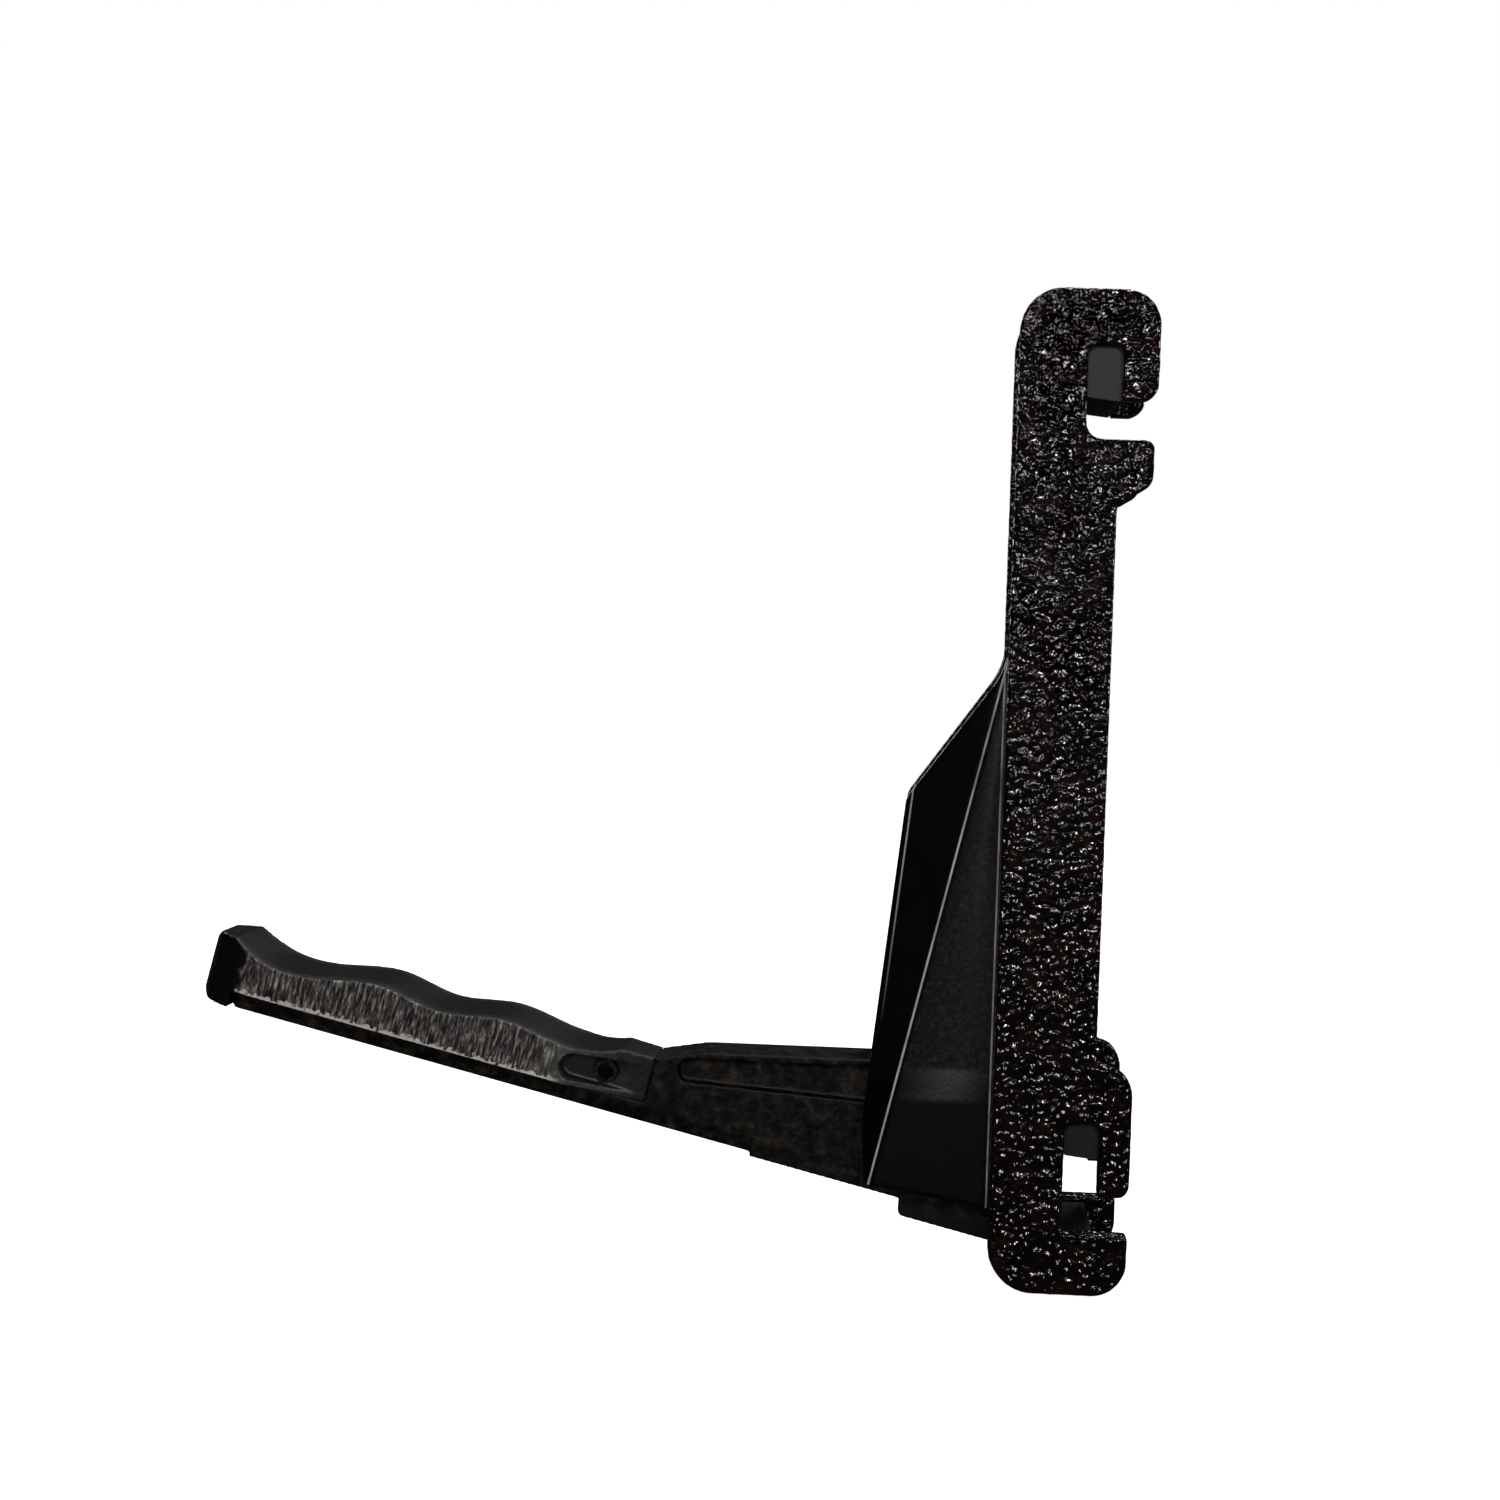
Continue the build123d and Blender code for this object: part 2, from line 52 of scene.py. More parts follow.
# Side plates: two 4 mm steel plates, cut to one outline, whose hooks hang on the frame's studs.
# Hammertone powder coat covers them: it flows into pebbles 1.3 mm apart and rounds every edge, so
# a dark red-brown ground is sprinkled with small hard glints.


def linear(hex_colour):
    """An sRGB hex colour as the linear colour a shader takes."""
    parts = [int(hex_colour[i : i + 2], 16) / 255 for i in (1, 3, 5)]
    return [p / 12.92 if p <= 0.04045 else ((p + 0.055) / 1.055) ** 2.4 for p in parts] + [1.0]


def add(tree, kind, settings=None, links=None):
    """A new node: its properties, its sockets by name or number, its colour stops and its links."""
    made = tree.nodes.new(kind)
    for name, value in (settings or {}).items():
        if name == "stops":
            bands = made.color_ramp.elements
            while len(bands) < len(value):
                bands.new(0.5)
            for band, (position, hex_colour) in zip(bands, value):
                band.position = position
                band.color = linear(hex_colour)
        elif isinstance(name, int) or name in made.inputs:
            made.inputs[name].default_value = value
        else:
            setattr(made, name, value)
    for name, output in (links or {}).items():
        tree.links.new(output, made.inputs[name])
    return made


def new_finish(name):
    """An empty finish: its tree, its surface shader and the place on the piece, in metres."""
    finish = bpy.data.materials.new(name)
    finish.use_nodes = True
    tree = finish.node_tree
    surface = tree.nodes["Principled BSDF"]
    place = add(tree, "ShaderNodeTexCoord")
    return finish, tree, surface, place


def dress(piece, finish):
    """Gives the whole piece one finish."""
    piece.data.materials.clear()
    piece.data.materials.append(finish)
    for face in piece.data.polygons:
        face.material_index = 0


def skin(node, name, voxel, rounds):
    """A fine even mesh over a CAD node, with its edges rounded as its finish rounds them."""
    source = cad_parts[node]
    piece = bpy.data.objects.new(name, source.data.copy())
    bpy.context.scene.collection.objects.link(piece)
    remesh = piece.modifiers.new("even_mesh", "REMESH")
    remesh.mode = "VOXEL"
    remesh.voxel_size = voxel
    remesh.use_smooth_shade = True
    smooth = piece.modifiers.new("soft_edges", "SMOOTH")
    smooth.factor = 0.5
    smooth.iterations = rounds
    graph = bpy.context.evaluated_depsgraph_get()
    made = bpy.data.meshes.new_from_object(piece.evaluated_get(graph), depsgraph=graph)
    piece.modifiers.clear()
    piece.data = made
    piece.data.name = name
    return piece


def hammertone_powder_coat():
    """Powder coat on steel: glossy pebbles over a near-black red-brown ground."""
    finish, tree, surface, place = new_finish("hammertone_powder_coat")
    pebble_pitch, pebble_depth = 0.0013, 0.00055
    drift_width, drift_reach, tint_width = 0.0022, 0.0012, 0.005
    drift = add(
        tree,
        "ShaderNodeTexNoise",
        {"Scale": 1 / drift_width, "Detail": 1.0},
        {"Vector": place.outputs["Object"]},
    )
    shifted = add(
        tree,
        "ShaderNodeVectorMath",
        {"operation": "MULTIPLY_ADD", 1: (drift_reach, drift_reach, drift_reach)},
        {0: drift.outputs["Color"], 2: place.outputs["Object"]},
    )
    pebbles = add(
        tree,
        "ShaderNodeTexVoronoi",
        {"feature": "SMOOTH_F1", "Scale": 1 / pebble_pitch, "Smoothness": 0.25},
        {"Vector": shifted.outputs["Vector"]},
    )
    relief = add(
        tree,
        "ShaderNodeBump",
        {"invert": True, "Strength": 1.0, "Distance": pebble_depth},
        {"Height": pebbles.outputs["Distance"]},
    )
    tint = add(
        tree,
        "ShaderNodeTexNoise",
        {"Scale": 1 / tint_width, "Detail": 3.0},
        {"Vector": place.outputs["Object"]},
    )
    ground = add(
        tree,
        "ShaderNodeValToRGB",
        {"stops": [(0.34, "#010102"), (0.5, "#060202"), (0.68, "#120404")]},
        {0: tint.outputs["Fac"]},
    ).outputs[0]
    surface.inputs["Roughness"].default_value = 0.2
    surface.inputs["IOR"].default_value = 1.5
    surface.inputs["Specular IOR Level"].default_value = 0.2
    surface.inputs["Coat Weight"].default_value = 1.0
    surface.inputs["Coat Roughness"].default_value = 0.03
    tree.links.new(ground, surface.inputs["Base Color"])
    tree.links.new(relief.outputs["Normal"], surface.inputs["Normal"])
    tree.links.new(relief.outputs["Normal"], surface.inputs["Coat Normal"])
    return finish


hammertone = hammertone_powder_coat()
pebble_lift, lift_pitch, lift_bias = 0.00007, 0.0016, 0.6
for side in ("left", "right"):
    plate = skin(f"{side}_side_plate", f"{side}_plate_coated", 0.0004, 2)
    outward = [vertex.normal.copy() for vertex in plate.data.vertices]
    for vertex, normal in zip(plate.data.vertices, outward):
        vertex.co += normal * pebble_lift * (noise.noise(vertex.co / lift_pitch) - lift_bias)
    dress(plate, hammertone)
    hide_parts(f"{side}_side_plate")
    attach(plate, "bracket")

# Yoke: one zinc casting between the plates, whose two walls carry the pivot and whose spine stops
# the folded lever. It has black enamel, gloss on the bevels and satin on the sides, and thin pale
# lines of painted highlight run along its ridge, its front edge and its seam with the plates.
ridge_x, ridge_z, ridge_lean = -0.0416, -0.0803, 0.229
front_x, front_lean, seam_x = -0.03512, 0.1025, -0.0194
outer_face = 0.0104


def black_enamel():
    """Stoved enamel on a die casting: pitch-black gloss on the bevels, brown-grey and satin on the
    rough sides behind the ridge, with painted highlights as pale lines at the ridge, the front and
    the plate."""
    finish, tree, surface, place = new_finish("black_enamel")
    peel_width, swell_width, peel_depth = 0.0008, 0.01, 0.00006
    peel = add(
        tree,
        "ShaderNodeTexNoise",
        {"Scale": 1 / peel_width, "Detail": 3.0},
        {"Vector": place.outputs["Object"]},
    )
    swell = add(
        tree,
        "ShaderNodeTexNoise",
        {"Scale": 1 / swell_width, "Detail": 3.0},
        {"Vector": place.outputs["Object"]},
    )
    across = add(
        tree,
        "ShaderNodeVectorMath",
        {"operation": "DOT_PRODUCT", 1: (1.0, 0.0, -ridge_lean)},
        {0: place.outputs["Object"]},
    )
    behind = add(
        tree,
        "ShaderNodeMath",
        {"operation": "ADD", 1: ridge_z * ridge_lean - ridge_x},
        {0: across.outputs["Value"]},
    )
    axes = add(tree, "ShaderNodeSeparateXYZ", {}, {"Vector": place.outputs["Object"]})
    outward = add(tree, "ShaderNodeMath", {"operation": "ABSOLUTE"}, {0: axes.outputs["Y"]})
    side = add(
        tree, "ShaderNodeMapRange", {1: 0.0002, 2: 0.0012}, {0: behind.outputs["Value"]}
    ).outputs[0]
    rough = add(
        tree,
        "ShaderNodeValToRGB",
        {"stops": [(0.35, "#050404"), (0.55, "#0f0b0a"), (0.7, "#1c1714")]},
        {0: peel.outputs["Fac"]},
    ).outputs[0]
    gloss = add(
        tree,
        "ShaderNodeValToRGB",
        {"stops": [(0.3, "#020202"), (0.7, "#050404")]},
        {0: swell.outputs["Fac"]},
    ).outputs[0]
    enamel = add(tree, "ShaderNodeMix", {"data_type": "RGBA"}, {0: side, 6: gloss, 7: rough})
    # Painted shade: below about 60 mm down the enamel is painted near-black, standing in for the
    # dark reflection there.
    above_shade_line = add(
        tree, "ShaderNodeMapRange", {1: -0.0615, 2: -0.0585}, {0: axes.outputs["Z"]}
    ).outputs[0]
    painted_shade_below = add(
        tree,
        "ShaderNodeMix",
        {"data_type": "RGBA", 6: linear("#020101")},
        {0: above_shade_line, 7: enamel.outputs[2]},
    )
    # Painted highlights: thin pale lines at the ridge, at the seam with the plate and at the front
    # edge, patchy along their length.
    from_ridge = add(
        tree, "ShaderNodeMath", {"operation": "ABSOLUTE"}, {0: behind.outputs["Value"]}
    )
    ridge = add(
        tree,
        "ShaderNodeMapRange",
        {1: 0.0001, 2: 0.00026, 3: 0.85, 4: 0.0},
        {0: from_ridge.outputs["Value"]},
    ).outputs[0]
    to_plate = add(tree, "ShaderNodeMath", {"operation": "ADD", 1: -seam_x}, {0: axes.outputs["X"]})
    from_plate = add(
        tree, "ShaderNodeMath", {"operation": "ABSOLUTE"}, {0: to_plate.outputs["Value"]}
    )
    seam_highlight = add(
        tree,
        "ShaderNodeMapRange",
        {1: 0.00008, 2: 0.00022, 3: 0.6, 4: 0.0},
        {0: from_plate.outputs["Value"]},
    ).outputs[0]
    edge_highlights = add(tree, "ShaderNodeMath", {"operation": "MAXIMUM"}, {0: ridge, 1: seam_highlight})
    skinned = add(
        tree, "ShaderNodeMapRange", {1: 0.0098, 2: 0.0103}, {0: outward.outputs["Value"]}
    ).outputs[0]
    highlights_on_sides = add(
        tree, "ShaderNodeMath", {"operation": "MULTIPLY"}, {0: edge_highlights.outputs["Value"], 1: skinned}
    )
    patchy_highlights = add(
        tree,
        "ShaderNodeMath",
        {"operation": "MULTIPLY"},
        {
            0: highlights_on_sides.outputs["Value"],
            1: add(
                tree, "ShaderNodeMapRange", {1: 0.3, 2: 0.6, 3: 0.25}, {0: swell.outputs["Fac"]}
            ).outputs[0],
        },
    )
    to_front = add(
        tree,
        "ShaderNodeVectorMath",
        {"operation": "DOT_PRODUCT", 1: (1.0, 0.0, -front_lean)},
        {0: place.outputs["Object"]},
    )
    past_front = add(
        tree, "ShaderNodeMath", {"operation": "ADD", 1: -front_x}, {0: to_front.outputs["Value"]}
    )
    from_front = add(
        tree, "ShaderNodeMath", {"operation": "ABSOLUTE"}, {0: past_front.outputs["Value"]}
    )
    front_highlight = add(
        tree,
        "ShaderNodeMapRange",
        {1: 0.00008, 2: 0.0002, 3: 0.6, 4: 0.0},
        {0: from_front.outputs["Value"]},
    ).outputs[0]
    fading = add(
        tree, "ShaderNodeMapRange", {1: -0.05, 2: -0.02}, {0: axes.outputs["Z"]}
    ).outputs[0]
    faded_front_highlight = add(tree, "ShaderNodeMath", {"operation": "MULTIPLY"}, {0: front_highlight, 1: fading})
    painted_highlights = add(
        tree,
        "ShaderNodeMath",
        {"operation": "MAXIMUM"},
        {0: patchy_highlights.outputs["Value"], 1: faded_front_highlight.outputs["Value"]},
    )
    # The painted highlights are mixed into the enamel's colour here.
    colour = add(
        tree,
        "ShaderNodeMix",
        {"data_type": "RGBA", 7: linear("#a39d97")},
        {0: painted_highlights.outputs["Value"], 6: painted_shade_below.outputs[2]},
    )
    relief = add(
        tree,
        "ShaderNodeBump",
        {"Strength": 0.5, "Distance": peel_depth},
        {"Height": peel.outputs["Fac"]},
    )
    level = add(tree, "ShaderNodeMath", {"operation": "MULTIPLY", 1: 0.6}, {0: side})
    tree.links.new(level.outputs["Value"], relief.inputs["Strength"])
    surface.inputs["IOR"].default_value = 1.5
    tree.links.new(colour.outputs[2], surface.inputs["Base Color"])
    tree.links.new(
        add(tree, "ShaderNodeMapRange", {3: 0.14, 4: 0.36}, {0: side}).outputs[0],
        surface.inputs["Roughness"],
    )
    tree.links.new(relief.outputs["Normal"], surface.inputs["Normal"])
    return finish


yoke = skin("yoke_casting", "yoke_enamelled", 0.00045, 6)
hollow_depth, plate_front, hollow_top = 0.0011, -0.019, 0.014
foot_z, foot_fade, tip_fade = -0.064, 0.006, 0.008
for vertex in yoke.data.vertices:
    x, y, z = vertex.co
    ridge = ridge_x + (z - ridge_z) * ridge_lean
    if abs(y) > outer_face and ridge < x < plate_front and z < hollow_top:
        across = (x - ridge) / (plate_front - ridge)
        fade = min(
            1.0, max(0.0, (z - foot_z) / foot_fade)
        ) * min(1.0, (plate_front - ridge) / tip_fade)
        vertex.co.y -= math.copysign(hollow_depth * fade * math.sin(math.pi * across), y)
yoke.data.update()
dress(yoke, black_enamel())
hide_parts("yoke_casting")
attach(yoke, "bracket")

# Stud blocks: two black nylon mouldings, shouldered between the plates, that fill the legs of the
# hook slots and give the studs a quiet seat.


def moulded_nylon(name, dark, light):
    """Moulded nylon: dull, faintly grained, with no clear reflections."""
    finish, tree, surface, place = new_finish(name)
    grain_width, grain_depth = 0.0004, 0.00003
    grain = add(
        tree,
        "ShaderNodeTexNoise",
        {"Scale": 1 / grain_width, "Detail": 3.0},
        {"Vector": place.outputs["Object"]},
    )
    colour = add(
        tree,
        "ShaderNodeValToRGB",
        {"stops": [(0.3, dark), (0.7, light)]},
        {0: grain.outputs["Fac"]},
    ).outputs[0]
    relief = add(
        tree,
        "ShaderNodeBump",
        {"Strength": 0.5, "Distance": grain_depth},
        {"Height": grain.outputs["Fac"]},
    )
    surface.inputs["Roughness"].default_value = 0.55
    surface.inputs["IOR"].default_value = 1.53
    tree.links.new(colour, surface.inputs["Base Color"])
    tree.links.new(relief.outputs["Normal"], surface.inputs["Normal"])
    return finish


black_nylon = moulded_nylon("black_nylon", "#040404", "#0a0a0b")
for node in ("upper_stud_block", "lower_stud_saddle"):
    dress(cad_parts[node], black_nylon)

# Screws, pivot pin, washers, bush and detent: bought steel, nylon and bronze pieces between the
# plates. Only the screws' heads and the pin's ends can be seen with the handle whole.


def turned_metal(name, dark, light, roughness, scratch):
    """Turned or drawn metal: fine marks left by the tool, drawn as noise with no direction."""
    finish, tree, surface, place = new_finish(name)
    scratch_depth, smoothest, roughest = 0.00002, roughness * 0.8, roughness * 1.25
    marks = add(
        tree,
        "ShaderNodeTexNoise",
        {"Scale": 1 / scratch, "Detail": 4.0},
        {"Vector": place.outputs["Object"]},
    )
    colour = add(
        tree,
        "ShaderNodeValToRGB",
        {"stops": [(0.3, dark), (0.7, light)]},
        {0: marks.outputs["Fac"]},
    ).outputs[0]
    wear = add(
        tree,
        "ShaderNodeMapRange",
        {1: 0.3, 2: 0.7, 3: smoothest, 4: roughest},
        {0: marks.outputs["Fac"]},
    ).outputs[0]
    relief = add(
        tree,
        "ShaderNodeBump",
        {"Strength": 0.4, "Distance": scratch_depth},
        {"Height": marks.outputs["Fac"]},
    )
    surface.inputs["Metallic"].default_value = 1.0
    tree.links.new(colour, surface.inputs["Base Color"])
    tree.links.new(wear, surface.inputs["Roughness"])
    tree.links.new(relief.outputs["Normal"], surface.inputs["Normal"])
    return finish


ground_steel = turned_metal("ground_steel", "#8f9092", "#bfc0c2", 0.25, 0.0005)
spring_wire = turned_metal("drawn_spring_wire", "#303033", "#5d5d61", 0.34, 0.0004)
black_oxide = turned_metal("black_oxide_steel", "#141416", "#2b2b2f", 0.38, 0.0006)
bronze = turned_metal("sintered_bronze", "#8a6a3c", "#b8935c", 0.45, 0.0003)
white_nylon = moulded_nylon("natural_nylon", "#d3cdbd", "#e4dfd2")
for node, finish in {
    "plate_screws": black_oxide,
    "pivot_pin": ground_steel,
    "detent_balls": ground_steel,
    "detent_spring": spring_wire,
    "grip_spring_pin": spring_wire,
    "pivot_bush": bronze,
    "left_thrust_washer": white_nylon,
    "right_thrust_washer": white_nylon,
}.items():
    dress(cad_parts[node], finish)

# Lever arm: a steel forging with hub, heel, recessed root and a half-round spine to the tip. It
# keeps its dark scale, brown and mottled, and a plain brown-black over the heel under the root.


def along_lever(tree, place):
    """Two lengths in metres: along the lever's underside, and square to it."""
    slope, underside_start = math.radians(13.37), (-0.019, 0.0, -0.0882)
    start = add(
        tree,
        "ShaderNodeVectorMath",
        {"operation": "SUBTRACT", 1: underside_start},
        {0: place.outputs["Object"]},
    )
    found = []
    lengthwise = (-math.cos(slope), 0.0, math.sin(slope))
    square_to_it = (math.sin(slope), 0.0, math.cos(slope))
    for direction in (lengthwise, square_to_it):
        made = add(
            tree,
            "ShaderNodeVectorMath",
            {"operation": "DOT_PRODUCT", 1: direction},
            {0: start.outputs["Vector"]},
        )
        found.append(made.outputs["Value"])
    return found


def forging_scale():
    """Black forging scale on steel: satin, and brown where it is thin."""
    finish, tree, surface, place = new_finish("forging_scale")
    _, height = along_lever(tree, place)
    blotch_width, grit_width, grit_depth = 0.0026, 0.0007, 0.00012
    blotch = add(
        tree,
        "ShaderNodeTexNoise",
        {"Scale": 1 / blotch_width, "Detail": 6.0, "Roughness": 0.7},
        {"Vector": place.outputs["Object"]},
    )
    grit = add(
        tree,
        "ShaderNodeTexNoise",
        {"Scale": 1 / grit_width, "Detail": 3.0},
        {"Vector": place.outputs["Object"]},
    )
    scale = add(
        tree,
        "ShaderNodeValToRGB",
        {"stops": [(0.34, "#020201"), (0.47, "#0b0806"), (0.58, "#1c1712"), (0.7, "#33291f")]},
        {0: blotch.outputs["Fac"]},
    ).outputs[0]
    heel = add(
        tree, "ShaderNodeMapRange", {1: -0.0012, 2: 0.0008, 3: 1.0, 4: 0.0}, {0: height}
    ).outputs[0]
    colour = add(
        tree, "ShaderNodeMix", {"data_type": "RGBA", 7: linear("#140e08")}, {0: heel, 6: scale}
    )
    relief = add(
        tree,
        "ShaderNodeBump",
        {"Strength": 0.8, "Distance": grit_depth},
        {"Height": grit.outputs["Fac"]},
    )
    surface.inputs["Metallic"].default_value = 0.55
    tree.links.new(colour.outputs[2], surface.inputs["Base Color"])
    tree.links.new(
        add(
            tree,
            "ShaderNodeMapRange",
            {1: 0.3, 2: 0.7, 3: 0.36, 4: 0.6},
            {0: blotch.outputs["Fac"]},
        ).outputs[0],
        surface.inputs["Roughness"],
    )
    tree.links.new(relief.outputs["Normal"], surface.inputs["Normal"])
    return finish


arm = skin("lever_arm", "lever_arm_forged", 0.00035, 2)
dress(arm, forging_scale())
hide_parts("lever_arm")
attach(arm, "lever")

# Grip: an iron casting pressed over the spine and held by the spring pin. Its sides are ground on a
# coarse belt, so the marks run across the lever, and the scalloped top keeps a dark waxed finish.


def ground_iron():
    """Belt-ground iron: bare sides, and a ragged pale burr along the lower edge, painted bright as
    the edge's highlight too. The marks are 0.6 mm apart, coarser than a real belt's, so that they
    show.
    The rest is waxed and dark."""
    finish, tree, surface, place = new_finish("ground_iron")
    length, height = along_lever(tree, place)
    mark_width, mark_length, grit_width, blotch_width = 0.0006, 0.0036, 0.0009, 0.004
    wander_reach, jag_reach, mark_depth = 0.006, 0.0035, 0.00014
    flat = add(tree, "ShaderNodeCombineXYZ", {}, {"X": length, "Y": height})
    stretched = add(
        tree,
        "ShaderNodeVectorMath",
        {"operation": "MULTIPLY", 1: (1 / mark_width, 1 / mark_length, 1.0)},
        {0: flat.outputs["Vector"]},
    )
    marks = add(
        tree,
        "ShaderNodeTexNoise",
        {"Scale": 1.0, "Detail": 3.0, "Roughness": 0.7},
        {"Vector": stretched.outputs["Vector"]},
    )
    grit = add(
        tree,
        "ShaderNodeTexNoise",
        {"Scale": 1 / grit_width, "Detail": 3.0},
        {"Vector": place.outputs["Object"]},
    )
    blotch = add(
        tree,
        "ShaderNodeTexNoise",
        {"Scale": 1 / blotch_width, "Detail": 4.0},
        {"Vector": place.outputs["Object"]},
    )
    bare = add(
        tree,
        "ShaderNodeValToRGB",
        {"stops": [(0.36, "#141112"), (0.5, "#4a4442"), (0.6, "#8f8986"), (0.7, "#cfc9c6")]},
        {0: marks.outputs["Fac"]},
    ).outputs[0]
    speck = add(
        tree,
        "ShaderNodeMix",
        {"data_type": "FLOAT", 0: 0.5},
        {2: blotch.outputs["Fac"], 3: grit.outputs["Fac"]},
    )
    waxed = add(
        tree,
        "ShaderNodeValToRGB",
        {"stops": [(0.3, "#151813"), (0.52, "#2d322b"), (0.7, "#484e44")]},
        {0: speck.outputs[0]},
    ).outputs[0]
    facing = add(tree, "ShaderNodeSeparateXYZ", {}, {"Vector": place.outputs["Normal"]})
    sideways = add(tree, "ShaderNodeMath", {"operation": "ABSOLUTE"}, {0: facing.outputs["Y"]})
    axes = add(tree, "ShaderNodeSeparateXYZ", {}, {"Vector": place.outputs["Object"]})
    outward = add(tree, "ShaderNodeMath", {"operation": "ABSOLUTE"}, {0: axes.outputs["Y"]})
    on_side = add(
        tree, "ShaderNodeMapRange", {1: 0.75, 2: 0.95}, {0: sideways.outputs["Value"]}
    ).outputs[0]
    wander = add(
        tree,
        "ShaderNodeMath",
        {"operation": "MULTIPLY_ADD", 1: wander_reach, 2: -wander_reach / 2},
        {0: blotch.outputs["Fac"]},
    )
    ragged = add(
        tree, "ShaderNodeMath", {"operation": "ADD"}, {0: length, 1: wander.outputs["Value"]}
    )
    past_eye = add(
        tree, "ShaderNodeMapRange", {1: 0.0855, 2: 0.092}, {0: ragged.outputs["Value"]}
    ).outputs[0]
    before_nose = add(
        tree,
        "ShaderNodeMapRange",
        {1: 0.1475, 2: 0.1495, 3: 1.0, 4: 0.0},
        {0: ragged.outputs["Value"]},
    ).outputs[0]
    not_sunk = add(
        tree, "ShaderNodeMapRange", {1: 0.0072, 2: 0.0079}, {0: outward.outputs["Value"]}
    ).outputs[0]
    ground = on_side
    for limit in (past_eye, before_nose, not_sunk):
        ground = add(
            tree, "ShaderNodeMath", {"operation": "MULTIPLY"}, {0: ground, 1: limit}
        ).outputs["Value"]
    # Painted shade: surfaces sunk in nearer the middle plane than 7.4 mm fade toward near-black,
    # darkest inside 5.2 mm.
    sunk_shade = add(
        tree, "ShaderNodeMapRange", {1: 0.0052, 2: 0.0074, 3: 0.15}, {0: outward.outputs["Value"]}
    ).outputs[0]
    with_sunk_shade = add(
        tree, "ShaderNodeMix", {"data_type": "RGBA", 6: linear("#020202")}, {0: sunk_shade, 7: waxed}
    )
    # Painted shade: the nose's end, where it does not face up, is painted near-black.
    nose = add(tree, "ShaderNodeMapRange", {1: 0.1455, 2: 0.1485}, {0: length}).outputs[0]
    nose_end_shade = add(
        tree,
        "ShaderNodeMath",
        {"operation": "MULTIPLY"},
        {
            0: nose,
            1: add(
                tree,
                "ShaderNodeMapRange",
                {1: 0.3, 2: 0.6, 3: 1.0, 4: 0.0},
                {0: facing.outputs["Z"]},
            ).outputs[0],
        },
    )
    # The nose's end takes its painted shade here.
    dark = add(
        tree,
        "ShaderNodeMix",
        {"data_type": "RGBA", 7: linear("#030202")},
        {0: nose_end_shade.outputs["Value"], 6: with_sunk_shade.outputs[2]},
    )
    colour = add(
        tree, "ShaderNodeMix", {"data_type": "RGBA"}, {0: ground, 6: dark.outputs[2], 7: bare}
    )
    # Painted highlight: a ragged pale line along the lower edge of the ground sides, the burr drawn
    # bright as the edge's highlight.
    jag = add(
        tree,
        "ShaderNodeMath",
        {"operation": "MULTIPLY_ADD", 1: -jag_reach, 2: jag_reach / 2},
        {0: grit.outputs["Fac"]},
    )
    rim = add(tree, "ShaderNodeMath", {"operation": "ADD"}, {0: height, 1: jag.outputs["Value"]})
    burr_and_highlight = add(
        tree,
        "ShaderNodeMapRange",
        {1: 0.0050, 2: 0.0053, 3: 1.0, 4: 0.0},
        {0: rim.outputs["Value"]},
    ).outputs[0]
    burr_and_highlight_on_sides = add(tree, "ShaderNodeMath", {"operation": "MULTIPLY"}, {0: burr_and_highlight, 1: ground})
    bright = add(
        tree,
        "ShaderNodeMix",
        {"data_type": "RGBA", 7: linear("#e6e1dc")},
        {0: burr_and_highlight_on_sides.outputs["Value"], 6: colour.outputs[2]},
    )
    grain = add(
        tree,
        "ShaderNodeMix",
        {"data_type": "FLOAT"},
        {0: ground, 2: grit.outputs["Fac"], 3: marks.outputs["Fac"]},
    )
    relief = add(
        tree,
        "ShaderNodeBump",
        {"Strength": 1.0, "Distance": mark_depth},
        {"Height": grain.outputs[0]},
    )
    tree.links.new(
        add(tree, "ShaderNodeMapRange", {3: 0.55}, {0: ground}).outputs[0],
        relief.inputs["Strength"],
    )
    tree.links.new(
        add(tree, "ShaderNodeMapRange", {4: 0.75}, {0: ground}).outputs[0],
        surface.inputs["Metallic"],
    )
    tree.links.new(bright.outputs[2], surface.inputs["Base Color"])
    tree.links.new(
        add(tree, "ShaderNodeMapRange", {3: 0.4, 4: 0.42}, {0: ground}).outputs[0],
        surface.inputs["Roughness"],
    )
    tree.links.new(relief.outputs["Normal"], surface.inputs["Normal"])
    return finish


grip = skin("lever_grip", "lever_grip_ground", 0.0003, 2)
dress(grip, ground_iron())
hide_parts("lever_grip")
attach(grip, "lever")

# Table: a white board under the handle. It gives off its own light, so it takes no shadow and meets
# the white background without a line.
gap_under_handle = 0.0006
bpy.ops.mesh.primitive_plane_add(size=6.0, location=(0.0, 0.0, cad_box[0].z - gap_under_handle))
table = bpy.context.object
table.name = "table"
table_finish, tree, surface, place = new_finish("pale_laminate")
surface.inputs["Base Color"].default_value = linear("#f6f6f6")
surface.inputs["Roughness"].default_value = 0.8
surface.inputs["Emission Color"].default_value = linear("#ffffff")
surface.inputs["Emission Strength"].default_value = 0.99
dress(table, table_finish)
table.visible_glossy = False

# Studio: white to the camera and dim to the handle, so that its black finishes stay black. Three
# small lamps near the camera make the glints, and four larger ones stand above and behind.
world = bpy.data.worlds.new("studio")
bpy.context.scene.world = world
world.use_nodes = True
sky = world.node_tree
ray = add(sky, "ShaderNodeLightPath")
strength = add(sky, "ShaderNodeMapRange", {3: 0.012}, {0: ray.outputs["Is Camera Ray"]}).outputs[0]
sky.links.new(strength, sky.nodes["Background"].inputs["Strength"])
sky.nodes["Background"].inputs["Color"].default_value = linear("#ffffff")


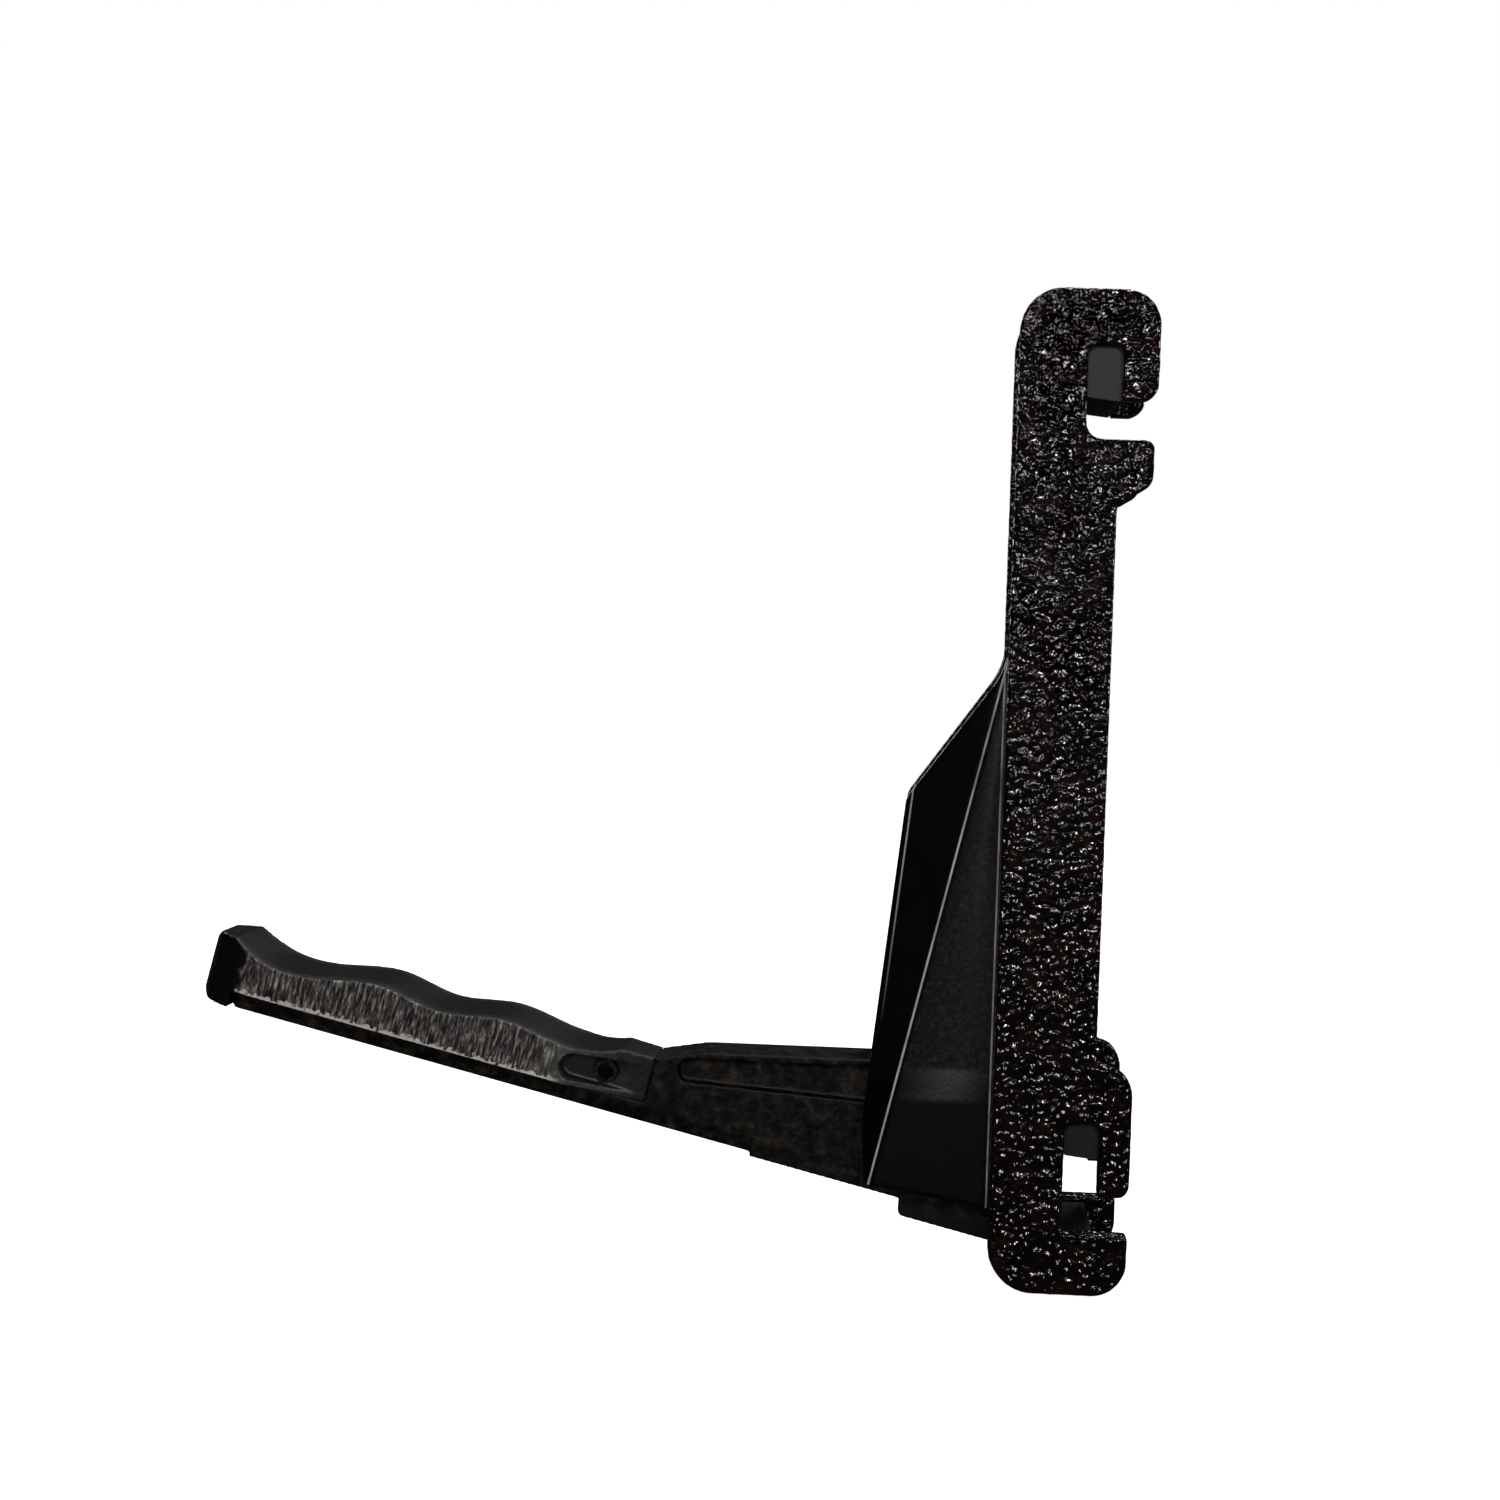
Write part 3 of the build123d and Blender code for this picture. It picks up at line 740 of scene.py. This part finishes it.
def softbox(name, place, aim, width, height, power):
    """A flat lamp at a place, turned towards a point."""
    lamp = bpy.data.lights.new(name, "AREA")
    lamp.shape = "RECTANGLE"
    lamp.size, lamp.size_y, lamp.energy = width, height, power
    made = bpy.data.objects.new(name, lamp)
    made.location = place
    made.rotation_mode = "QUATERNION"
    made.rotation_quaternion = (Vector(aim) - Vector(place)).to_track_quat("-Z", "Y")
    bpy.context.scene.collection.objects.link(made)


softbox("overhead", (-0.1, 0.1, 0.9), (-0.05, 0.0, 0.0), 0.3, 0.3, 2.4)
softbox("front_high", (-0.05, -0.62, 0.3), (-0.06, 0.0, 0.0), 0.055, 0.055, 0.75)
softbox("front_left", (-0.19, -0.62, 0.15), (-0.06, 0.0, 0.0), 0.06, 0.07, 0.45)
softbox("front_right", (0.22, -0.6, 0.16), (-0.03, 0.0, 0.0), 0.045, 0.05, 0.5)
softbox("behind", (0.3, 0.7, 0.8), (-0.05, 0.0, 0.0), 0.25, 0.25, 2.2)
softbox("behind_right", (0.9, 0.3, 0.2), (-0.05, 0.0, 0.0), 0.2, 0.3, 1.6)
softbox("behind_left", (-0.7, 0.6, 0.3), (-0.05, 0.0, 0.0), 0.2, 0.3, 1.4)

# Camera: 0.37 m in front of the handle's middle plane and nearly square to the plates, with a shift
# that keeps them upright while the lever stays in the frame.
camera = bpy.data.objects.new("camera", bpy.data.cameras.new("camera"))
bpy.context.scene.collection.objects.link(camera)
bpy.context.scene.camera = camera
yaw, pitch, roll = -0.0229, -0.02187, 0.03502
look = Vector((math.sin(yaw) * math.cos(pitch), math.cos(yaw) * math.cos(pitch), math.sin(pitch)))
across = look.cross(Vector((0, 0, 1))).normalized()
upward = across.cross(look)
right = across * math.cos(roll) + upward * math.sin(roll)
top = upward * math.cos(roll) - across * math.sin(roll)
turned = Matrix((right, top, -look)).transposed()
camera.matrix_world = Matrix.Translation((-0.03064, -0.37, 0.0219)) @ turned.to_4x4()
camera.data.lens = 46.29
camera.data.shift_x, camera.data.shift_y = -0.1, -0.045
bpy.context.scene.view_settings.view_transform = "Standard"
